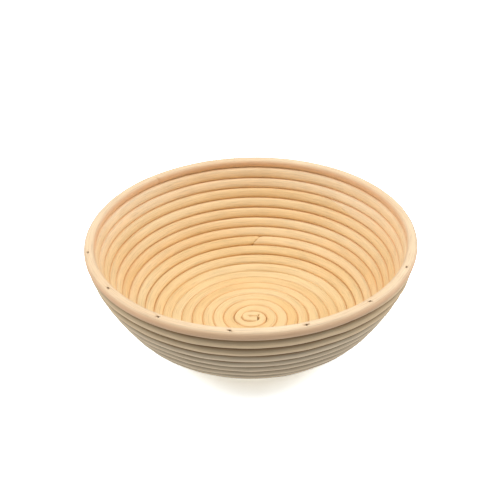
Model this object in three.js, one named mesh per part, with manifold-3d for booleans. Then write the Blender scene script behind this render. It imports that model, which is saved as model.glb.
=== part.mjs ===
// A round proving basket for bread, coiled from peeled rattan cane.
//
// One spiral of cane makes the floor and the wall. It starts as a folded hairpin at the centre of the
// floor, and it is made of three lengths joined end to end by diagonal scarfs. Brads pin each turn to
// the turn before it. A hoop of cane, closed by a scarf of its own, is pinned on top as the rim.
//
// Units are millimetres and +Z is up. The origin is under the rim's axis, on the surface that the
// basket stands on. The spiral grows clockwise as seen from above.

import * as THREE from 'three';
import { mergeVertices } from 'three/addons/utils/BufferGeometryUtils.js';
import Module from 'manifold-3d';

const wasm = await Module();
wasm.setup();

// ---- Driving dimensions ----

const CANE = 7.8;                 // thickness of the coiled cane, across the wall
const RIM_CANE = 8.2;             // thickness of the rim hoop's cane
const CLEARANCE = 0.3;            // gap between neighbouring turns and pieces
const RIM_HEIGHT = 87;            // top of the rim above the surface
const RIM_RADIUS = 125 - RIM_CANE / 2;

// The basket is coiled by hand and isn't quite true below the rim.
const COIL_OFFSET = 0.6;          // how far the floor's centre sits to the right of the rim's axis
const OVALITY = 0.037;            // the share by which the floor is wider than it is deep

// The wall seen in section, from the coil's centre outwards along the middle of the cane. Each
// stretch has its length and how far it turns upwards over that length, in degrees.
const OUTLINE = [
  { length: 57.5, bend: 0 },      // flat floor
  { length: 16, bend: 40 },       // lower bend
  { length: 20, bend: 0 },        // slanting lower wall
  { length: 17, bend: 19 },       // upper bend
  { length: 19, bend: 0 },        // steep upper wall
  { length: 24, bend: 13.5 },     // wall under the rim, which goes on bending as far as the rim
];

// The coil. Turns are counted along the spiral, and turn 0 begins at the back of the basket.
const FIRST_TURN_RADIUS = 8.7;    // inner edge of turn 0
const FLOOR_PITCH = 7.9;          // spacing of the turns at the centre
const PITCH_GROWTH = 0.06;        // how much the spacing grows with each turn
const COIL_END = 17.43;           // where the last turn runs out under the rim
const TAPER_TURNS = 0.17;         // the last turn thins to nothing over this much of a turn
const LEVEL_FROM = 9.4;           // above this turn the coil is eased level, to carry a flat rim
const TIP = 0.12;                 // thickness left at a tapered tip, as a part of the full thickness

// The folded start of the cane, seen from above: a short straight, a hairpin and one oblong loop. Each
// point has its place and the width of the cane there, which is shaved thinner to fold. The last point
// only steers the curve into the spiral, which the point before it meets.
const HAIRPIN = [
  [3.4, -1.6, 5.4], [0.5, -1.6, 5.4], [-2.4, -1.5, 5.4], [-4.8, -0.5, 5.2], [-5.7, 1.8, 5.2],
  [-4.8, 4.1, 5.2], [-2.4, 5.1, 5.2], [1.2, 5.1, 5.4], [4.8, 4.0, 5.4], [7.4, 0.4, 5.4],
  [7.2, -3.2, 5.6], [4.6, -7.0, 6.2], [0, -8.8, 6.8], [-5.6, -8.2, 6.2], [-9.8, -4.5, 5.8],
  [-11.5, 0.5, 5.6], [-9.9, 6.2, 5.9], [-5.6, 10.8, 6.5], [0, 12.65, 7.6], [7.0, 11.4, 7.6],
];
const HAIRPIN_STEPS = 48;

const STEPS_PER_TURN = 32;
const SECTION_SIDES = 6;

// Scarf joints between the lengths: where each starts and how long it is, in turns, and whether the
// next length begins above the one that ends. They start and end on whole steps.
const LOWER_SCARF = { start: 10, length: 1 / STEPS_PER_TURN, nextAbove: false };
const UPPER_SCARF = { start: 15 + 3 / STEPS_PER_TURN, length: 2 / STEPS_PER_TURN, nextAbove: true };
const RIM_SCARF = { start: -4 / STEPS_PER_TURN, length: 1 / STEPS_PER_TURN };

// Brads, which are plain pins with a point. Those of the coil go through one turn into the next.
const BRAD_RADIUS = 0.7;
const BRAD_POINT = 2;
const BRAD_SIDES = 6;
const COIL_BRAD_LENGTH = 12;
const COIL_BRAD_STAGGER = 0.618;  // in turns, from one turn's brads to the next turn's
const TURNS_PER_EXTRA_BRAD = 5;   // every fifth turn has one brad more than the turns below
const RIM_BRAD_COUNT = 15;
const RIM_BRAD_FIRST = -145;      // direction of the first rim brad, in degrees
const RIM_BRAD_LENGTH = 15;
const BRAD_SUNK = 1;              // depth of a brad's head below the surface of the cane

const CANE_COLOUR = 0xe8c48e;
const RIM_COLOUR = 0xecd2a6;
const STEEL_COLOUR = 0x5b5348;

// ---- The shape of the basket ----

const clamp = THREE.MathUtils.clamp;

// The radius and height of the outline at a distance along it.
function outlineAt(distance) {
  let radius = 0;
  let height = CANE / 2;
  let slope = 0;
  let left = distance;
  for (const stretch of OUTLINE) {
    const length = stretch === OUTLINE.at(-1) ? left : Math.min(left, stretch.length);
    const turned = THREE.MathUtils.degToRad(stretch.bend) * length / stretch.length;
    const chord = turned === 0 ? length : length * Math.sin(turned / 2) / (turned / 2);
    radius += chord * Math.cos(slope + turned / 2);
    height += chord * Math.sin(slope + turned / 2);
    slope += turned;
    left -= length;
    if (left <= 0) {
      break;
    }
  }
  return { radius, height };
}

// Distance along the outline of the edge below a turn.
function distanceAt(turn) {
  return FIRST_TURN_RADIUS + FLOOR_PITCH * turn + PITCH_GROWTH / 2 * turn * turn;
}

// The spiral climbs steadily at the floor. Towards the rim it runs level round most of each turn and
// climbs in one short stretch, above which the last turn tapers out.
function levelled(turn) {
  const amount = clamp((turn - LEVEL_FROM) / (COIL_END - LEVEL_FROM), 0, 1) * (1 - TAPER_TURNS);
  const phase = THREE.MathUtils.euclideanModulo(turn - COIL_END, 1);
  const climbing = phase > 1 - TAPER_TURNS;
  const saw = climbing ? (1 - phase) / TAPER_TURNS : phase / (1 - TAPER_TURNS);
  return turn + amount * (0.5 - saw);
}

const RIM_LEVEL = COIL_END + (1 - TAPER_TURNS) / 2;

function lowerEdge(turn) {
  return distanceAt(levelled(turn));
}

function upperEdge(turn) {
  return distanceAt(Math.min(levelled(turn + 1), RIM_LEVEL));
}

function azimuth(turn) {
  return Math.PI / 2 - 2 * Math.PI * turn;
}

// How far the coil is off its true round place, to the right.
function offTrue(x, height) {
  return (COIL_OFFSET + OVALITY * x) * (1 - height / RIM_HEIGHT);
}

// The point of the wall's middle at a distance along the outline.
function wallPoint(turn, distance) {
  const { radius, height } = outlineAt(distance);
  const x = radius * Math.cos(azimuth(turn));
  const y = radius * Math.sin(azimuth(turn));
  return new THREE.Vector3(x + offTrue(x, height), y, height);
}

// A section of cane between two edges of the outline: its middle, the half-width vector from turn to
// turn, and the half-thickness vector through the wall.
function wallSection(turn, low, high) {
  const below = wallPoint(turn, low + CLEARANCE / 2);
  const above = wallPoint(turn, high - CLEARANCE / 2);
  const middle = below.clone().add(above).divideScalar(2);
  const across = above.sub(below).divideScalar(2);
  const along = new THREE.Vector3(Math.sin(azimuth(turn)), -Math.cos(azimuth(turn)), 0);
  const through = along.cross(across).setLength(CANE / 2);
  return { middle, across, through };
}

// ---- Sweeping a cane ----

// A path that carries its own sections, so that a cane's width can change along it.
class SectionPath extends THREE.Curve {
  constructor(sections) {
    super();
    this.sections = sections;
  }

  getSpacedPoints() {
    return this.sections.map((section) => section.middle);
  }

  computeFrenetFrames() {
    const normals = this.sections.map((section) => section.across);
    const binormals = this.sections.map((section) => section.through);
    const tangents = normals.map((normal, i) => normal.clone().cross(binormals[i]).normalize());
    return { tangents, normals, binormals };
  }
}

// The cane's section: corners towards its neighbours, and flats above and below.
function caneShape() {
  const flat = Math.sin(Math.floor(SECTION_SIDES / 4 + 0.5) * 2 * Math.PI / SECTION_SIDES);
  const corners = Array.from({ length: SECTION_SIDES }, (_, i) => {
    const angle = 2 * Math.PI * i / SECTION_SIDES;
    return new THREE.Vector2(Math.cos(angle), Math.sin(angle) / flat);
  });
  return new THREE.Shape(corners);
}

function sweep(sections) {
  return new THREE.ExtrudeGeometry(caneShape(), {
    steps: sections.length - 1,
    extrudePath: new SectionPath(sections),
  });
}

// Stops along a stretch of the spiral, at the same azimuths on every turn.
function turnsBetween(first, last) {
  const turns = [first];
  for (let i = Math.floor(first * STEPS_PER_TURN) + 1; i < last * STEPS_PER_TURN; i += 1) {
    turns.push(i / STEPS_PER_TURN);
  }
  turns.push(last);
  return turns.filter((turn, i) => i === 0 || turn - turns[i - 1] > 0.002);
}

// How far a scarf's cut has come through the cane at a turn, from 0 at its start to 1 at its end.
function scarfCut(scarf, turn) {
  return clamp((turn - scarf.start) / scarf.length, 0, 1);
}

// ---- The lengths of cane ----

function hairpinSections() {
  const path = new THREE.CatmullRomCurve3(HAIRPIN.map((point) => new THREE.Vector3(...point)));
  const sections = [];
  for (let i = 0; i < HAIRPIN_STEPS; i += 1) {
    const place = i / HAIRPIN_STEPS * (HAIRPIN.length - 2) / (HAIRPIN.length - 1);
    const { x, y, z: width } = path.getPoint(place);
    const heading = path.getTangent(place).setZ(0);
    const across = new THREE.Vector3(-heading.y, heading.x, 0).setLength(width / 2);
    sections.push({
      middle: new THREE.Vector3(x + offTrue(x, CANE / 2), y, CANE / 2),
      across,
      through: new THREE.Vector3(0, 0, CANE / 2),
    });
  }
  return sections;
}

// The edges of a section after a scarf has taken the part that belongs to the other length.
function scarfed({ low, high }, taken, fromBelow) {
  const cut = (high - low) * taken;
  return fromBelow ? { low: low + cut, high } : { low, high: high - cut };
}

// One length of the coil, with a scarf at each end that joins another length.
function coilSections(first, last, startScarf, endScarf) {
  return turnsBetween(first, last).map((turn) => {
    let edges = { low: lowerEdge(turn), high: upperEdge(turn) };
    if (startScarf) {
      edges = scarfed(edges, 1 - scarfCut(startScarf, turn), startScarf.nextAbove);
    }
    if (endScarf) {
      edges = scarfed(edges, scarfCut(endScarf, turn), !endScarf.nextAbove);
    }
    return wallSection(turn, edges.low, edges.high);
  });
}

function scarfStart(scarf) {
  return scarf.start + scarf.length * TIP;
}

function scarfEnd(scarf) {
  return scarf.start + scarf.length * (1 - TIP);
}

const baseCane = sweep([
  ...hairpinSections(),
  ...coilSections(0, scarfEnd(LOWER_SCARF), null, LOWER_SCARF),
]);

const lowerWallCane = sweep(
  coilSections(scarfStart(LOWER_SCARF), scarfEnd(UPPER_SCARF), LOWER_SCARF, UPPER_SCARF),
);

const upperWallCane = sweep(
  coilSections(scarfStart(UPPER_SCARF), COIL_END - TAPER_TURNS * TIP, UPPER_SCARF, null),
);

// The rim hoop. Its ends overlap in a scarf that is cut upright, so it shows on top as a slanting line.
function rimSections() {
  const first = scarfStart(RIM_SCARF);
  const last = scarfEnd(RIM_SCARF) + 1;
  return turnsBetween(first, last).map((turn) => {
    const inner = -RIM_CANE / 2 + RIM_CANE * (1 - scarfCut(RIM_SCARF, turn));
    const outer = RIM_CANE / 2 - RIM_CANE * scarfCut(RIM_SCARF, turn - 1);
    const gaps = (inner > -RIM_CANE / 2 ? 0.5 : 0) + (outer < RIM_CANE / 2 ? 0.5 : 0);
    const angle = azimuth(turn);
    const outwards = new THREE.Vector3(Math.cos(angle), Math.sin(angle), 0);
    const middle = outwards.clone().multiplyScalar(RIM_RADIUS + (inner + outer) / 2);
    return {
      middle: middle.setZ(RIM_HEIGHT - RIM_CANE / 2),
      across: outwards.clone().multiplyScalar((outer - inner - gaps * CLEARANCE) / 2),
      through: new THREE.Vector3(0, 0, RIM_CANE / 2),
    };
  });
}

const rimHoop = sweep(rimSections());

// ---- Brads ----

// A brad's place: its head, the direction that it points in, and its length.
function coilBrad(turn) {
  const section = wallSection(turn, lowerEdge(turn), upperEdge(turn));
  const direction = section.across.clone().normalize().negate();
  const head = section.middle.clone().add(section.across).addScaledVector(direction, BRAD_SUNK);
  return { head, direction, length: COIL_BRAD_LENGTH };
}

// A longer turn has more brads, and each turn's are staggered from those of the turn below.
function coilBrads() {
  const brads = [];
  for (let turn = 1; turn < COIL_END - 1; turn += 1) {
    const count = Math.ceil(turn / TURNS_PER_EXTRA_BRAD);
    for (let i = 0; i < count; i += 1) {
      brads.push(coilBrad(turn + (i / count + turn * COIL_BRAD_STAGGER) % 1));
    }
  }
  return brads;
}

function rimBrad(index) {
  const angle = THREE.MathUtils.degToRad(RIM_BRAD_FIRST + 360 * index / RIM_BRAD_COUNT);
  const turn = (Math.PI / 2 - angle) / (2 * Math.PI);
  const outwards = new THREE.Vector3(Math.cos(angle), Math.sin(angle), 0);
  const hoop = outwards.clone().multiplyScalar(RIM_RADIUS).setZ(RIM_HEIGHT - RIM_CANE / 2);
  const topTurn = COIL_END - 1 + THREE.MathUtils.euclideanModulo(turn - COIL_END, 1);
  const target = wallSection(topTurn, lowerEdge(topTurn), upperEdge(topTurn)).middle;
  const direction = target.sub(hoop).normalize();
  const head = hoop.addScaledVector(direction, BRAD_SUNK - RIM_CANE / 2);
  return { head, direction, length: RIM_BRAD_LENGTH };
}

function rimBrads() {
  return Array.from({ length: RIM_BRAD_COUNT }, (_, index) => rimBrad(index));
}

// A pin with a flat head and a point, lying along a brad's line.
function pin({ head, direction, length }, radius, above, below) {
  const profile = [
    new THREE.Vector2(0, -above),
    new THREE.Vector2(radius, -above),
    new THREE.Vector2(radius, length + below - BRAD_POINT),
    new THREE.Vector2(0, length + below),
  ];
  const geometry = new THREE.LatheGeometry(profile, BRAD_SIDES);
  const turned = new THREE.Quaternion().setFromUnitVectors(new THREE.Vector3(0, 1, 0), direction);
  geometry.applyQuaternion(turned);
  geometry.translate(head.x, head.y, head.z);
  return geometry;
}

function bradHole(brad) {
  return pin(brad, BRAD_RADIUS + CLEARANCE, 2 * BRAD_SUNK, CLEARANCE);
}

// ---- Cutting the holes ----

function toSolid(geometry) {
  const bare = geometry.clone();
  bare.deleteAttribute('normal');
  bare.deleteAttribute('uv');
  const merged = mergeVertices(bare);
  return new wasm.Manifold(new wasm.Mesh({
    numProp: 3,
    vertProperties: merged.attributes.position.array,
    triVerts: new Uint32Array(merged.index.array),
  }));
}

function toGeometry(solid) {
  const mesh = solid.getMesh();
  const geometry = new THREE.BufferGeometry();
  geometry.setAttribute('position', new THREE.BufferAttribute(mesh.vertProperties, 3));
  geometry.setIndex(new THREE.BufferAttribute(mesh.triVerts, 1));
  geometry.computeVertexNormals();
  return geometry;
}

function drilled(geometry, brads) {
  return toGeometry(brads.reduce(
    (solid, brad) => solid.subtract(toSolid(bradHole(brad))),
    toSolid(geometry),
  ));
}

// ---- The basket ----

const cane = new THREE.MeshStandardMaterial({ color: CANE_COLOUR, roughness: 0.6, metalness: 0 });
const rimCane = new THREE.MeshStandardMaterial({ color: RIM_COLOUR, roughness: 0.55, metalness: 0 });
const steel = new THREE.MeshStandardMaterial({ color: STEEL_COLOUR, roughness: 0.4, metalness: 0.9 });

function named(name, geometry, material) {
  const mesh = new THREE.Mesh(geometry, material);
  mesh.name = name;
  return mesh;
}

function bradMeshes(kind, brads) {
  return brads.map((brad, index) => {
    const number = String(index + 1).padStart(2, '0');
    return named(`${kind}_brad_${number}`, pin(brad, BRAD_RADIUS, 0, 0), steel);
  });
}

const coilPins = coilBrads();
const rimPins = rimBrads();
const allPins = [...coilPins, ...rimPins];

const basket = new THREE.Group();
basket.add(
  named('base_cane', drilled(baseCane, allPins), cane),
  named('lower_wall_cane', drilled(lowerWallCane, allPins), cane),
  named('upper_wall_cane', drilled(upperWallCane, allPins), cane),
  named('rim_hoop', drilled(rimHoop, rimPins), rimCane),
  ...bradMeshes('coil', coilPins),
  ...bradMeshes('rim', rimPins),
);

export default basket;
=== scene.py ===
import math
import random

import bmesh
import bpy
import numpy as np
from mathutils import Matrix, Vector


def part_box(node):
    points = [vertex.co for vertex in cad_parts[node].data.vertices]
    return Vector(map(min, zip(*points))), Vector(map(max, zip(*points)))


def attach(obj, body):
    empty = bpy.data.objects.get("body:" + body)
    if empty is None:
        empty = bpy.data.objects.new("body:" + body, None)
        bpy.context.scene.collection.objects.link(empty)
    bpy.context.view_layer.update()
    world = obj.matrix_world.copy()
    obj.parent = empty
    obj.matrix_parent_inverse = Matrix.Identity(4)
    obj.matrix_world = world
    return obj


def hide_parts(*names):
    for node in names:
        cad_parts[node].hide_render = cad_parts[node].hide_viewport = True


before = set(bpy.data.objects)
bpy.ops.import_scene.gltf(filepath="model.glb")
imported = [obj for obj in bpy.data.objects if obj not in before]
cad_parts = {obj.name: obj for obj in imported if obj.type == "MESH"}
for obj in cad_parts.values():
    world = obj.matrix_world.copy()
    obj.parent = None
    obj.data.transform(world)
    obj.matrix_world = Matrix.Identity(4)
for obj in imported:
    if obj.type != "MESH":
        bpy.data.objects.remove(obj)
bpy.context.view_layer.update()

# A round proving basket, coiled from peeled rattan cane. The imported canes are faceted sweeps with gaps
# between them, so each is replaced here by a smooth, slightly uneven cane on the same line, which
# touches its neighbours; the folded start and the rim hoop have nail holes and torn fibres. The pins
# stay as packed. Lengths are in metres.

MM = 0.001

# ---- The basket's dimensions ----

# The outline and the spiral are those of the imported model. The folded start is wider than there,
# because it leaves no gaps, and the scarfs are shorter, two of them by more than half.

rim_low, rim_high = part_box("rim_hoop")
floor_low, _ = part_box("base_cane")
RIM_TOP = rim_high.z
RIM_CANE = rim_high.z - rim_low.z
RIM_RADIUS = (rim_high.x - rim_low.x) / 2 - RIM_CANE / 2

CANE = 7.8 * MM           # thickness of the coiled cane
COIL_OFFSET = 0.6 * MM    # how far the floor's centre sits to the right of the rim's axis
OVALITY = 0.037           # the share by which the floor is wider than it is deep
OUTLINE = [  # length of each stretch of the wall's section, and how far it turns upwards, in degrees
    (57.5 * MM, 0),
    (16 * MM, 40),
    (20 * MM, 0),
    (17 * MM, 19),
    (19 * MM, 0),
    (24 * MM, 13.5),
]
FIRST_TURN_RADIUS = 8.7 * MM  # inner edge of turn 0
FLOOR_PITCH = 7.9 * MM        # spacing of the turns at the centre
PITCH_GROWTH = 0.06 * MM      # how much the spacing grows with each turn
COIL_END = 17.43              # the turn at which the last cane runs out under the rim
TAPER_TURNS = 0.17            # the last turn thins over this much of a turn,
TAPER_CUT = 0.02              # and this share of the taper, its thin tip, is cut off
LEVEL_FROM = 9.4              # above this turn the coil is eased level
RIM_LEVEL = COIL_END + (1 - TAPER_TURNS) / 2
HAIRPIN = [  # the folded start, seen from above: x, y and the cane's width there, in millimetres
    (3.4, -1.6, 7.0), (0.5, -1.6, 7.2), (-2.4, -1.5, 6.4), (-4.8, -0.5, 6.0), (-5.7, 1.8, 6.0),
    (-4.8, 4.1, 6.0), (-2.4, 5.1, 6.0), (1.2, 5.1, 6.4), (4.8, 4.0, 6.0), (7.4, 0.4, 5.8),
    (7.2, -3.2, 6.2), (4.6, -7.0, 6.8), (0, -8.8, 7.4), (-5.6, -8.2, 7.0), (-9.8, -4.5, 6.4),
    (-11.5, 0.5, 6.2), (-9.9, 6.2, 6.4), (-5.6, 10.8, 7.0), (0, 12.65, 7.9), (7.0, 11.4, 7.9),
]

# Scarfs: where each starts, its length in turns, and whether the next cane begins above the last.
LOWER_SCARF = (10.002, 0.014, False)
UPPER_SCARF = (15.10, 0.045, True)
RIM_SCARF = (-0.124, 0.014)

# ---- How finely the canes are made, and how uneven they are ----

STATION = 2.0 * MM        # spacing of a cane's rings of points,
SIDES = 28                # and how many points each ring has
HAIRPIN_RINGS = 99        # rings along the folded start
OUTER_SQUARENESS = 1.9    # of the section's outer half: 2 is round, and more is squarer
WALL_SQUARENESS = 2.8     # of its inner half in the wall,
FLOOR_SQUARENESS = 3.5    # and in the floor, which is the flattest
HOOP_SQUARENESS = 2.3     # of the rim hoop
FLOOR_TO_WALL = (5, 9)    # turns between which the floor's section changes into the wall's
PRESSED = 0.12 * MM       # how far neighbouring turns are pressed into each other in the wall,
FLOOR_PRESSED = 0.45 * MM  # and in the floor
UNDER_HOOP = 0.3 * MM     # how far the top turn is pressed up under the hoop
HOOP_SLACK = 0.1 * MM     # how much smaller the hoop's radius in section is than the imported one's
HOOP_END_PROUD = 0.5 * MM  # how far the hoop's end springs outwards at its scarf,
HOOP_END_RUN = 45 * MM    # and over what length
SCARF_GAP = 0.08 * MM     # crack left open by a scarf
PROUD = 0.22 * MM         # how far a turn strays in and out of the wall,
STRAY_PERIOD = 95 * MM    # and over what length
THICKNESS_WANDER = 0.015  # share by which a cane's thickness varies,
THICKNESS_PERIOD = 60 * MM  # and over what length
WANDER_WAVES = (1, 0.61, 0.37, 0.23)  # waves in a wandering line, as shares of its period
WANDER_PEAK = 2.9         # about the most that those waves add up to

# ---- Nail holes ----

OPEN_HOLES = (-175, -20)  # directions in degrees between which the rim's nail holes stand open
START_HOLE = (5.3 * MM, 1.7 * MM)  # place of the hole in the folded end,
START_DEPTH = 1 * MM      # how deep a brad's head would lie in it,
START_SLANT = (0.35, -0.25, -0.9)  # and the direction that it was driven in
HOLE_SEED = 25
HOLE_SIDES = 9
HOLE_MOUTH = 0.8 * MM     # radius of a hole where it opens,
HOLE_FOOT = 0.75 * MM     # and at the brad's head
HOLE_STRETCH = 1.5        # how much longer a nail hole is along the grain than across it
HOLE_RAGGED = 0.25 * MM   # how far a hole's edge strays along the grain
PLUG_LENGTH = 3 * MM      # length of the plug that cuts a hole,
PLUG_RISE = 1.4 * MM      # and from the brad's head up to its middle
HEAD_SPAN = 0.5 * MM      # points this near to the pin's far end belong to its head

# Torn fibres: how many a hole has, how high above the head they start, how far from the hole's
# middle, how far to the side, how much they lean and lift, and how long and wide they are.
SPLINTER_COUNT = (3, 5)
SPLINTER_HEIGHT = 0.95 * MM
SPLINTER_START = 0.75 * MM
SPLINTER_SPREAD = 0.7         # in millimetres
SPLINTER_LEAN = 0.4
SPLINTER_LIFT = 0.35
SPLINTER_LENGTH = (1.0, 2.6)  # in millimetres
SPLINTER_WIDTH = (0.25, 0.5)  # in millimetres


# ---- The shape of the coil ----

def outline_at(distance):
    """Radius and height of the wall's middle at a distance along its section."""
    radius = np.zeros_like(distance)
    height = np.full_like(distance, CANE / 2)
    slope = np.zeros_like(distance)
    left = distance.copy()
    for index, (length, bend) in enumerate(OUTLINE):
        last = index == len(OUTLINE) - 1
        run = left if last else np.clip(left, 0, length)
        turned = math.radians(bend) * run / length
        chord = run * np.sinc(turned / 2 / math.pi)
        radius += chord * np.cos(slope + turned / 2)
        height += chord * np.sin(slope + turned / 2)
        slope += turned
        left = np.maximum(left - length, 0)
    return radius, height


def distance_at(turn):
    return FIRST_TURN_RADIUS + FLOOR_PITCH * turn + PITCH_GROWTH / 2 * turn * turn


def levelled(turn):
    """The coil climbs steadily at the floor, and nearly level round the rim with one short climb."""
    amount = np.clip((turn - LEVEL_FROM) / (COIL_END - LEVEL_FROM), 0, 1) * (1 - TAPER_TURNS)
    phase = np.mod(turn - COIL_END, 1)
    climbing = (1 - phase) / TAPER_TURNS
    level = phase / (1 - TAPER_TURNS)
    return turn + amount * (0.5 - np.where(phase > 1 - TAPER_TURNS, climbing, level))


def lower_edge(turn):
    return distance_at(levelled(turn))


def upper_edge(turn):
    edge = distance_at(np.minimum(levelled(turn + 1), RIM_LEVEL))
    near_hoop = np.clip(1 - (distance_at(RIM_LEVEL) - edge) / CANE, 0, 1)
    return edge + UNDER_HOOP * near_hoop


def azimuth(turn):
    return math.pi / 2 - 2 * math.pi * turn


def wander(length, period, seed):
    """Smooth noise from -1 to 1 along a cane."""
    chance = random.Random(seed)
    total = np.zeros_like(length)
    for stretch in WANDER_WAVES:
        phase = chance.uniform(0, 2 * math.pi)
        total += stretch ** 0.5 * np.sin(2 * math.pi * length / (period * stretch) + phase)
    return total / WANDER_PEAK


def off_true(x, height):
    """How far the hand-coiled basket is off its true round place, to the right."""
    return (COIL_OFFSET + OVALITY * x) * (1 - height / RIM_TOP)


def wall_point(turn, distance):
    """The point of the wall's middle at a distance along its section."""
    radius, height = outline_at(distance)
    x, y = radius * np.cos(azimuth(turn)), radius * np.sin(azimuth(turn))
    return np.stack([x + off_true(x, height), y, height], axis=1)


def unit(vectors):
    return vectors / np.linalg.norm(vectors, axis=1)[:, None]


# ---- Making a cane ----

class Path:
    """Where a cane runs: its middle, the unit vectors from turn to turn and through the wall, its
    half-widths along them, how much of it a scarf leaves on each side of the middle, and how square
    its inner half is."""

    names = ("middle", "across", "through", "half_width", "half_thickness", "keep_low", "keep_high",
             "squareness")

    def __init__(self, middle, across, through, half_width, half_thickness, keep_low, keep_high,
                 squareness):
        self.middle = middle
        self.across = across
        self.through = through
        self.half_width = half_width
        self.half_thickness = half_thickness
        self.keep_low = keep_low
        self.keep_high = keep_high
        self.squareness = squareness
        steps = np.linalg.norm(np.diff(middle, axis=0), axis=1)
        self.length = np.concatenate([[0], np.cumsum(steps)])

    def joined_to(self, other):
        return Path(*(np.concatenate([getattr(self, name), getattr(other, name)])
                      for name in self.names))


def scarf_cut(scarf, turn):
    return np.clip((turn - scarf[0]) / scarf[1], 0, 1)


def coil_path(first, last, start_scarf=None, end_scarf=None):
    """One length of the coil, cut where its scarfs meet the lengths before and after it."""
    radius, _ = outline_at(distance_at(np.array([(first + last) / 2 + 0.5])))
    count = int((last - first) * 2 * math.pi * radius[0] / STATION)
    turn = np.linspace(first, last, count)
    low, high = lower_edge(turn), upper_edge(turn)
    below, above = wall_point(turn, low), wall_point(turn, high)
    middle = (below + above) / 2
    across = unit(above - below)
    angle = azimuth(turn)
    along = np.stack([np.sin(angle), -np.cos(angle), np.zeros(count)], axis=1)
    through = unit(np.cross(along, across))
    pressed = np.interp(turn, FLOOR_TO_WALL, (FLOOR_PRESSED, PRESSED))
    half_width = (np.linalg.norm(above - below, axis=1) + pressed) / 2
    full = np.minimum(high - low, FLOOR_PITCH)
    half_thickness = CANE / 2 * np.sqrt(full / FLOOR_PITCH)
    keep_low, keep_high = -half_width.copy(), half_width.copy()
    for scarf, taken in ((start_scarf, lambda s: 1 - scarf_cut(s, turn)),
                         (end_scarf, lambda s: scarf_cut(s, turn))):
        if scarf is None:
            continue
        next_above = scarf[2]
        from_below = next_above if scarf is start_scarf else not next_above
        if from_below:
            keep_low = np.maximum(keep_low,
                                  -half_width + 2 * half_width * taken(scarf) + SCARF_GAP / 2)
        else:
            keep_high = np.minimum(keep_high,
                                   half_width - 2 * half_width * taken(scarf) - SCARF_GAP / 2)
    squareness = np.interp(turn, FLOOR_TO_WALL, (FLOOR_SQUARENESS, WALL_SQUARENESS))
    return Path(middle, across, through, half_width, half_thickness, keep_low, keep_high, squareness)


def catmull_rom(points, place):
    """The point at a place, in segments, on the curve through some points."""
    i = min(int(place), len(points) - 3)
    t = place - i
    before = points[i - 1] if i > 0 else 2 * points[0] - points[1]
    a, b, c, d = before, points[i], points[i + 1], points[i + 2]
    return (2 * b + (c - a) * t + (2 * a - 5 * b + 4 * c - d) * t * t
            + (3 * b - a - 3 * c + d) * t ** 3) / 2


def hairpin_path():
    """The folded start of the first cane, as far as the back of the spiral's first turn."""
    points = np.array(HAIRPIN) * MM
    places = np.linspace(0, len(points) - 2, HAIRPIN_RINGS + 1)[:-1]
    plan = np.array([catmull_rom(points, place) for place in places])
    ahead = np.array([catmull_rom(points, place + 0.01) for place in places])
    heading = unit((ahead - plan)[:, :2])
    flat = np.zeros(len(plan))
    x = plan[:, 0] + off_true(plan[:, 0], CANE / 2)
    middle = np.column_stack([x, plan[:, 1], flat + CANE / 2])
    across = np.column_stack([-heading[:, 1], heading[:, 0], flat])
    through = np.tile([0, 0, 1.0], (len(plan), 1))
    half_width = plan[:, 2] / 2
    return Path(middle, across, through, half_width, flat + CANE / 2, -half_width, half_width.copy(),
                flat + FLOOR_SQUARENESS)


def superellipse(angle, squareness):
    power = 2 / squareness
    cos, sin = np.cos(angle), np.sin(angle)
    return np.sign(cos) * np.abs(cos) ** power, np.sign(sin) * np.abs(sin) ** power


def cane_mesh(name, path, seed, proud=PROUD, outer=OUTER_SQUARENESS):
    """A cane along a path, with its grain coordinates and how near each point is to a neighbour."""
    angle = np.linspace(0, 2 * math.pi, SIDES, endpoint=False)[None, :]
    squareness = np.where(np.sin(angle) > 0, path.squareness[:, None], outer)
    c, s = superellipse(angle, squareness)
    fullness = 1 + THICKNESS_WANDER * wander(path.length, THICKNESS_PERIOD, seed)
    stray = proud * wander(path.length, STRAY_PERIOD, seed + 1)
    width = path.half_width[:, None]
    thickness = (path.half_thickness * fullness)[:, None]
    t = np.clip(width * c, path.keep_low[:, None], path.keep_high[:, None])
    tallest = thickness * np.clip(1 - np.abs(t / width) ** squareness, 0, 1) ** (1 / squareness)
    n = np.clip(thickness * s, -tallest, tallest)
    points = (path.middle[:, None, :] + path.across[:, None, :] * t[:, :, None]
              + path.through[:, None, :] * (n + stray[:, None])[:, :, None])
    points[:, :, 2] = np.maximum(points[:, :, 2], floor_low.z)  # worn flat where it stands
    rings = len(points)
    around = np.arange(SIDES)
    start = (np.arange(rings - 1) * SIDES)[:, None]
    ahead = (around + 1) % SIDES
    corners = [start + around, start + ahead, start + SIDES + ahead, start + SIDES + around]
    faces = np.stack(corners, axis=2)
    faces = [tuple(face) for face in faces.reshape(-1, 4).tolist()]
    faces.append(tuple(reversed(range(SIDES))))
    faces.append(tuple(range((rings - 1) * SIDES, rings * SIDES)))
    mesh = bpy.data.meshes.new(name)
    mesh.from_pydata(points.reshape(-1, 3).tolist(), [], faces)
    along = np.repeat(path.length + seed, SIDES)
    grain = np.column_stack([t.ravel(), n.ravel(), along])
    attribute = mesh.attributes.new("grain", "FLOAT_VECTOR", "POINT")
    attribute.data.foreach_set("vector", grain.astype(np.float32).ravel())
    contact = mesh.attributes.new("contact", "FLOAT", "POINT")
    contact.data.foreach_set("value", np.abs(c).ravel().astype(np.float32))
    cane = bpy.data.objects.new(name, mesh)
    bpy.context.scene.collection.objects.link(cane)
    outward_faces(cane)
    return cane


def outward_faces(piece):
    work = bmesh.new()
    work.from_mesh(piece.data)
    bmesh.ops.recalc_face_normals(work, faces=work.faces)
    work.to_mesh(piece.data)
    work.free()
    piece.data.polygons.foreach_set("use_smooth", [True] * len(piece.data.polygons))


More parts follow.
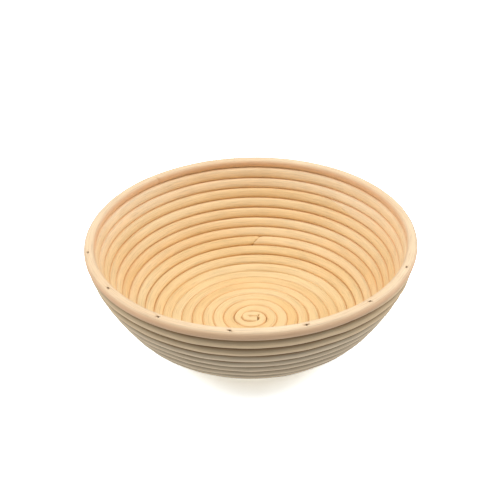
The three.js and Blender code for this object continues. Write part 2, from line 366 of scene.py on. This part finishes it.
def rim_path():
    """The rim hoop, from its scarf once round to it again."""
    start, length = RIM_SCARF
    count = int(2 * math.pi * RIM_RADIUS * (1 + length) / STATION)
    turn = np.linspace(start, start + 1 + length, count)
    angle = azimuth(turn)
    outwards = np.stack([np.cos(angle), np.sin(angle), np.zeros(count)], axis=1)
    travelled = (turn - start) * 2 * math.pi * RIM_RADIUS
    middle = outwards * RIM_RADIUS
    middle[:, 2] = RIM_TOP - RIM_CANE / 2
    through = np.tile([0, 0, 1.0], (count, 1))
    half = np.full(count, RIM_CANE / 2 - HOOP_SLACK)
    keep_low = half - 2 * half * scarf_cut(RIM_SCARF, turn) + SCARF_GAP / 2
    keep_high = half - 2 * half * scarf_cut(RIM_SCARF, turn - 1) - SCARF_GAP / 2
    keep_low[turn > start + length] = -RIM_CANE
    keep_high[turn < start + 1] = RIM_CANE
    near_end = np.clip(1 - (travelled[-1] - travelled) / HOOP_END_RUN, 0, 1)
    proud = HOOP_END_PROUD * near_end ** 2
    middle += outwards * proud[:, None]
    return Path(middle, outwards, through, half, half.copy(), keep_low, keep_high,
                np.full(count, HOOP_SQUARENESS))


# ---- Nail holes and torn fibres ----

def brad_line(brad):
    """The middle of a packed brad's head, and the direction that it was driven in."""
    points = [brad.matrix_world @ vertex.co for vertex in brad.data.vertices]
    tip = min(points, key=lambda point: point.z)
    length = max((point - tip).length for point in points)
    heads = [point for point in points if (point - tip).length > length - HEAD_SPAN]
    head = sum(heads, Vector()) / len(heads)
    return head, (tip - head).normalized()


def stands_open(line):
    """Whether the hole over a rim brad is drawn. Round the rest of the rim none is to be seen."""
    head, _ = line
    return OPEN_HOLES[0] < math.degrees(math.atan2(head.y, head.x)) < OPEN_HOLES[1]


def along_grain(direction):
    """A level direction at right angles to a brad, which on the rim is that of the hoop's fibres."""
    return Vector((0, 0, 1)).cross(direction).normalized()


def hole_cutters(lines, chance):
    """A ragged plug for each hole, from the brad's head to above the cane."""
    work = bmesh.new()
    for head, direction in lines:
        turn = direction.to_track_quat("Z", "Y").to_matrix().to_4x4()
        place = Matrix.Translation(head - direction * PLUG_RISE) @ turn
        added = bmesh.ops.create_cone(work, cap_ends=True, segments=HOLE_SIDES, radius1=HOLE_MOUTH,
                                      radius2=HOLE_FOOT, depth=PLUG_LENGTH, matrix=place)
        fibre = along_grain(direction)
        for vertex in added["verts"]:
            torn = (HOLE_STRETCH - 1) * (vertex.co - head).dot(fibre)
            vertex.co += fibre * (torn + chance.uniform(-HOLE_RAGGED, HOLE_RAGGED))
    mesh = bpy.data.meshes.new("plugs")
    work.to_mesh(mesh)
    work.free()
    plugs = bpy.data.objects.new("plugs", mesh)
    bpy.context.scene.collection.objects.link(plugs)
    return plugs


def drill(piece, plugs):
    """Cuts the plugs out of a piece, and removes them."""
    modifier = piece.modifiers.new("holes", "BOOLEAN")
    modifier.object = plugs
    drilled = piece.evaluated_get(bpy.context.evaluated_depsgraph_get())
    piece.data = bpy.data.meshes.new_from_object(drilled)
    piece.modifiers.clear()
    bpy.data.objects.remove(plugs)


def splinter(work, root, towards, outwards, length, width):
    """A thin spike of torn fibre, which lifts off the cane towards its tip."""
    side = towards.cross(outwards).normalized() * width / 2
    tip = work.verts.new(root + towards * length + outwards * length * SPLINTER_LIFT)
    base = [work.verts.new(root + offset) for offset in (side, -side, outwards * width)]
    for a, b in ((0, 1), (1, 2), (2, 0)):
        work.faces.new((base[a], base[b], tip))
    work.faces.new(base)


def splinters(piece, lines, chance):
    """Adds a few torn fibres round each hole in a piece."""
    work = bmesh.new()
    work.from_mesh(piece.data)
    for head, direction in lines:
        fibre = along_grain(direction)
        surface = head - direction * SPLINTER_HEIGHT
        for _ in range(chance.randint(*SPLINTER_COUNT)):
            towards = fibre * chance.choice((-1, 1))
            across = fibre.cross(direction) * chance.uniform(-SPLINTER_SPREAD, SPLINTER_SPREAD)
            root = surface + towards * SPLINTER_START + across * MM
            lean = (towards + across * SPLINTER_LEAN).normalized()
            length = chance.uniform(*SPLINTER_LENGTH) * MM
            width = chance.uniform(*SPLINTER_WIDTH) * MM
            splinter(work, root, lean, -direction, length, width)
    work.to_mesh(piece.data)
    work.free()


# ---- Materials ----

class Graph:
    """Short ways to add and join nodes in one material."""

    def __init__(self, name):
        self.material = bpy.data.materials.new(name)
        self.material.use_nodes = True
        self.tree = self.material.node_tree
        self.shader = self.tree.nodes["Principled BSDF"]

    def node(self, kind, **settings):
        node = self.tree.nodes.new(kind)
        for name, value in settings.items():
            setattr(node, name, value)
        return node

    def join(self, source, target):
        self.tree.links.new(source, target)

    def attribute(self, name):
        return self.node("ShaderNodeAttribute", attribute_name=name)

    def noise(self, vector, scale, detail=3.0, roughness=0.55):
        """Noise over a vector that is first scaled by (x, y, z)."""
        mapping = self.node("ShaderNodeMapping")
        mapping.inputs["Scale"].default_value = scale
        self.join(vector, mapping.inputs["Vector"])
        noise = self.node("ShaderNodeTexNoise")
        noise.inputs["Scale"].default_value = 1.0
        noise.inputs["Detail"].default_value = detail
        noise.inputs["Roughness"].default_value = roughness
        self.join(mapping.outputs["Vector"], noise.inputs["Vector"])
        return noise.outputs["Fac"]

    def ramp(self, value, *stops):
        """A ramp through stops of (place, grey or colour)."""
        ramp = self.node("ShaderNodeValToRGB")
        elements = ramp.color_ramp.elements
        while len(elements) < len(stops):
            elements.new(0.5)
        for element, (place, colour) in zip(elements, stops):
            element.position = place
            grey = isinstance(colour, (int, float))
            element.color = (colour, colour, colour, 1) if grey else (*colour, 1)
        self.join(value, ramp.inputs["Fac"])
        return ramp.outputs["Color"]

    def mix(self, kind, factor, a, b):
        """Two colours mixed; a factor or colour may be a socket or a plain value."""
        mix = self.node("ShaderNodeMix", data_type="RGBA", blend_type=kind)
        for socket, value in ((mix.inputs[0], factor), (mix.inputs[6], a), (mix.inputs[7], b)):
            if isinstance(value, bpy.types.NodeSocket):
                self.join(value, socket)
            elif isinstance(value, tuple):
                socket.default_value = (*value, 1)
            else:
                socket.default_value = value
        return mix.outputs[2]

    def maths(self, operation, a, b):
        node = self.node("ShaderNodeMath", operation=operation)
        for socket, value in zip(node.inputs, (a, b)):
            if isinstance(value, bpy.types.NodeSocket):
                self.join(value, socket)
            else:
                socket.default_value = value
        return node.outputs[0]

    def facing_out(self, grain):
        """1 on the half of a cane that faces out of the basket, and 0 on the half that faces in."""
        parts = self.node("ShaderNodeSeparateXYZ")
        self.join(grain, parts.inputs["Vector"])
        return self.ramp(self.maths("MULTIPLY", parts.outputs["Y"], -1 / MM), (0.0, 0), (1.0, 1))

    def up_the_cane(self, grain):
        """From 0 at a turn's lower edge to 1 at its upper edge."""
        parts = self.node("ShaderNodeSeparateXYZ")
        self.join(grain, parts.inputs["Vector"])
        return self.maths("ADD", self.maths("MULTIPLY", parts.outputs["X"], 1 / CANE), 0.5)

    def bump(self, height, strength, distance, below=None):
        bump = self.node("ShaderNodeBump")
        bump.inputs["Strength"].default_value = strength
        bump.inputs["Distance"].default_value = distance
        self.join(height, bump.inputs["Height"])
        if below is not None:
            self.join(below, bump.inputs["Normal"])
        return bump.outputs["Normal"]


# How fine each pattern is, across the cane, through it and along it, in cells per metre.
TONE_GRAIN = (25, 25, 6)
PATCH_GRAIN = (160, 160, 40)
FIBRE_GRAIN = (2600, 2600, 45)
PORE_GRAIN = (4200, 4200, 70)
STAIN_GRAIN = (900, 900, 900)  # on the pins, where it is the same all ways

GROOVE_SHADE_TINT = (0.95, 0.74, 0.66)  # painted shade, as a share of the warm colour, where neighbouring turns meet
OUTER_GROOVE_SHADE = 0.4          # painted shade in the outer grooves, as a share of the streak colour
WEAR_AND_FLOOR_LIGHT_SHARE = 0.75         # how much of the outside colour, wear and painted light from the floor below, shows on the outside
PORE_SHARE = 0.5          # how dark the pores are
FIBRE_BUMP = 0.12 * MM
PATCH_BUMP = 0.3 * MM


def cane_material(name, pale, warm, streak, wear_and_floor_light=None):
    """Peeled rattan: fibres along the cane, dark pores, slow changes of tone and browner painted shade
    where turns meet. With an outside colour, partly wear and partly painted light from the floor below,
    the side that faces out of the basket has that colour, with painted shade towards each turn's upper
    edge and darker painted shade in its grooves."""
    graph = Graph(name)
    grain = graph.attribute("grain").outputs["Vector"]
    contact = graph.attribute("contact").outputs["Fac"]
    tone = graph.noise(grain, TONE_GRAIN, detail=2)
    patches = graph.noise(grain, PATCH_GRAIN, detail=3)
    fibres = graph.noise(grain, FIBRE_GRAIN, detail=3, roughness=0.6)
    pores = graph.noise(grain, PORE_GRAIN, detail=2, roughness=0.5)

    colour = graph.mix("MIX", graph.ramp(tone, (0.36, 0), (0.64, 1)), pale, warm)
    # The outside takes a colour that is partly wear and partly painted light from the floor below.
    if wear_and_floor_light is not None:
        outside = graph.facing_out(grain)
        colour = graph.mix("MIX", graph.maths("MULTIPLY", outside, WEAR_AND_FLOOR_LIGHT_SHARE), colour, wear_and_floor_light)
        # Painted shade on the outside: each turn darker towards its upper edge, under the overhang of
        # the turn above.
        painted_overhang_shade = graph.ramp(graph.up_the_cane(grain), (0.55, 1.0), (0.95, 0.5))
        colour = graph.mix("MULTIPLY", outside, colour, painted_overhang_shade)
    patchy = graph.ramp(patches, (0.3, 0.93), (0.7, 1.0))
    colour = graph.mix("MULTIPLY", 1.0, colour, patchy)
    fibre = graph.ramp(fibres, (0.32, 0.74), (0.5, 0.95), (0.7, 1.0))
    colour = graph.mix("MULTIPLY", 1.0, colour, fibre)
    pore = graph.ramp(pores, (0.60, 0), (0.72, 1))
    colour = graph.mix("MIX", graph.maths("MULTIPLY", pore, PORE_SHARE), colour, streak)
    # Painted shade: browner towards the edges where neighbouring turns meet.
    painted_groove_shade = graph.ramp(contact, (0.7, 0), (1.0, 0.5))
    groove_shade_colour = tuple(tint * channel for tint, channel in zip(GROOVE_SHADE_TINT, warm))
    colour = graph.mix("MIX", painted_groove_shade, colour, groove_shade_colour)
    if wear_and_floor_light is not None:
        # Painted shade, much darker, in the grooves on the outside of the basket.
        painted_outer_groove_shade = graph.maths("MULTIPLY", graph.ramp(contact, (0.68, 0), (0.96, 1)), outside)
        colour = graph.mix("MIX", painted_outer_groove_shade, colour, tuple(OUTER_GROOVE_SHADE * channel for channel in streak))
    graph.join(colour, graph.shader.inputs["Base Color"])

    rough = graph.ramp(fibres, (0.3, 0.62), (0.7, 0.5))
    graph.join(rough, graph.shader.inputs["Roughness"])
    graph.shader.inputs["Specular IOR Level"].default_value = 0.35
    fine = graph.bump(fibres, 0.35, FIBRE_BUMP)
    graph.join(graph.bump(patches, 0.3, PATCH_BUMP, fine), graph.shader.inputs["Normal"])
    return graph.material


def steel_material():
    """Dull drawn wire, a little rusty, and darker still as painted shade at the foot of each nail hole.
    """
    graph = Graph("brad_steel")
    place = graph.node("ShaderNodeTexCoord").outputs["Object"]
    stain = graph.noise(place, STAIN_GRAIN, detail=3)
    colour = graph.ramp(stain, (0.4, (0.035, 0.02, 0.013)), (0.65, (0.028, 0.011, 0.006)))
    graph.join(colour, graph.shader.inputs["Base Color"])
    graph.join(graph.ramp(stain, (0.35, 0.6), (0.7, 0.9)), graph.shader.inputs["Roughness"])
    graph.shader.inputs["Metallic"].default_value = 0.4
    return graph.material


def paper_material(name, colour, glow):
    graph = Graph(name)
    graph.shader.inputs["Emission Color"].default_value = (1, 1, 1, 1)
    graph.shader.inputs["Emission Strength"].default_value = glow
    graph.shader.inputs["Base Color"].default_value = (*colour, 1)
    graph.shader.inputs["Roughness"].default_value = 0.9
    graph.shader.inputs["Specular IOR Level"].default_value = 0.1
    return graph.material


# The outside colours are partly wear and partly painted light from the floor below: palest on the base
# cane, darker up the wall.
base_material = cane_material("base_cane", (0.86, 0.665, 0.375), (0.81, 0.555, 0.26),
                              (0.52, 0.33, 0.15), wear_and_floor_light=(0.97, 0.86, 0.68))
lower_material = cane_material("lower_cane", (0.88, 0.67, 0.39), (0.83, 0.56, 0.27),
                               (0.52, 0.33, 0.15), wear_and_floor_light=(0.95, 0.80, 0.59))
upper_material = cane_material("upper_cane", (0.92, 0.72, 0.47), (0.88, 0.62, 0.34),
                               (0.54, 0.35, 0.17), wear_and_floor_light=(0.88, 0.68, 0.43))
rim_material = cane_material("rim_cane", (0.85, 0.67, 0.46), (0.80, 0.58, 0.36), (0.55, 0.37, 0.19))
steel = steel_material()


# ---- The camera ----

CAMERA_PITCH = math.radians(32.7)
CAMERA_ROLL = math.radians(-1.19)
CAMERA_PLACE = (-0.6 * MM, -641.2 * MM, 482.5 * MM)
LENS = 72                 # in millimetres, as is the sensor
SENSOR_WIDTH = 36

camera = bpy.data.objects.new("camera", bpy.data.cameras.new("camera"))
camera.location = CAMERA_PLACE
camera.rotation_mode = "ZYX"
camera.rotation_euler = (math.pi / 2 - CAMERA_PITCH, 0, CAMERA_ROLL)
camera.data.sensor_width = SENSOR_WIDTH
camera.data.lens = LENS
bpy.context.scene.collection.objects.link(camera)
bpy.context.scene.camera = camera


# ---- The canes ----

def place_cane(cane, material, node):
    cane.data.materials.append(material)
    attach(cane, "root")
    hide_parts(node)


lower_start, lower_length, _ = LOWER_SCARF
upper_start, upper_length, _ = UPPER_SCARF

base_path = hairpin_path().joined_to(coil_path(0, lower_start + lower_length, end_scarf=LOWER_SCARF))
lower_path = coil_path(lower_start, upper_start + upper_length, LOWER_SCARF, UPPER_SCARF)
upper_path = coil_path(upper_start, COIL_END - TAPER_CUT * TAPER_TURNS, UPPER_SCARF)

coil = cane_mesh("base_coil", base_path, 1)
chance = random.Random(HOLE_SEED)
start_head = Vector((*START_HOLE, floor_low.z + CANE - START_DEPTH))
start_hole = [(start_head, Vector(START_SLANT).normalized())]
drill(coil, hole_cutters(start_hole, chance))
splinters(coil, start_hole, chance)
place_cane(coil, base_material, "base_cane")
place_cane(cane_mesh("lower_wall_coil", lower_path, 5), lower_material, "lower_wall_cane")
place_cane(cane_mesh("upper_wall_coil", upper_path, 9), upper_material, "upper_wall_cane")
ring = cane_mesh("rim_ring", rim_path(), 13, 0, HOOP_SQUARENESS)
nails = [brad_line(node) for name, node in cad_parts.items() if name.startswith("rim_brad")]
nails = [line for line in nails if stands_open(line)]
drill(ring, hole_cutters(nails, chance))
splinters(ring, nails, chance)
place_cane(ring, rim_material, "rim_hoop")

for name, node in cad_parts.items():
    if "brad" in name:
        node.data.materials.clear()
        node.data.materials.append(steel)


# ---- The studio ----

FLOOR_REACH = 4.0         # from the basket to each edge of the floor
SHEET_DROP = 0.1 * MM     # how far the glowing sheet lies under the paper
BOX_SIZE = 1.0
BOX_REACH = 1.1           # how far out and up the side lights are


def studio_floor(name, height, colour, glow):
    """A square sheet under the basket."""
    mesh = bpy.data.meshes.new(name)
    signs = ((-1, -1), (1, -1), (1, 1), (-1, 1))
    corners = [(x * FLOOR_REACH, y * FLOOR_REACH, height) for x, y in signs]
    mesh.from_pydata(corners, [], [(0, 1, 2, 3)])
    floor = bpy.data.objects.new(name, mesh)
    bpy.context.scene.collection.objects.link(floor)
    mesh.materials.append(paper_material(name, colour, glow))
    return floor


def softbox(name, place, size, power):
    """A square light that faces the basket."""
    light = bpy.data.objects.new(name, bpy.data.lights.new(name, "AREA"))
    light.data.shape = "SQUARE"
    light.data.size = size
    light.data.energy = power
    light.location = place
    light.rotation_euler = (-Vector(place)).to_track_quat("-Z", "Y").to_euler()
    bpy.context.scene.collection.objects.link(light)


def studio_world(strength):
    world = bpy.data.worlds.new("studio")
    world.use_nodes = True
    background = world.node_tree.nodes["Background"]
    background.inputs["Color"].default_value = (1, 1, 1, 1)
    background.inputs["Strength"].default_value = strength
    bpy.context.scene.world = world


# The paper that the camera sees is exposed until it is white, as in a catalogue picture. The basket is
# lit from below by the glowing sheet under it, which the camera doesn't see.
paper = studio_floor("floor", floor_low.z, (2.1, 2.28, 2.5), 0)
paper.visible_diffuse = False
paper.visible_glossy = False
paper.visible_shadow = False
sheet = studio_floor("glowing_sheet", floor_low.z - SHEET_DROP, (0.1, 0.1, 0.1), 0.62)
sheet.visible_camera = False

softbox("left", (-BOX_REACH, 0, BOX_REACH), BOX_SIZE, 17)
softbox("right", (BOX_REACH, 0, BOX_REACH), BOX_SIZE, 17)
softbox("overhead", (0, 0, 1.5), BOX_SIZE, 5)
studio_world(0.3)
bpy.context.scene.view_settings.view_transform = "Standard"
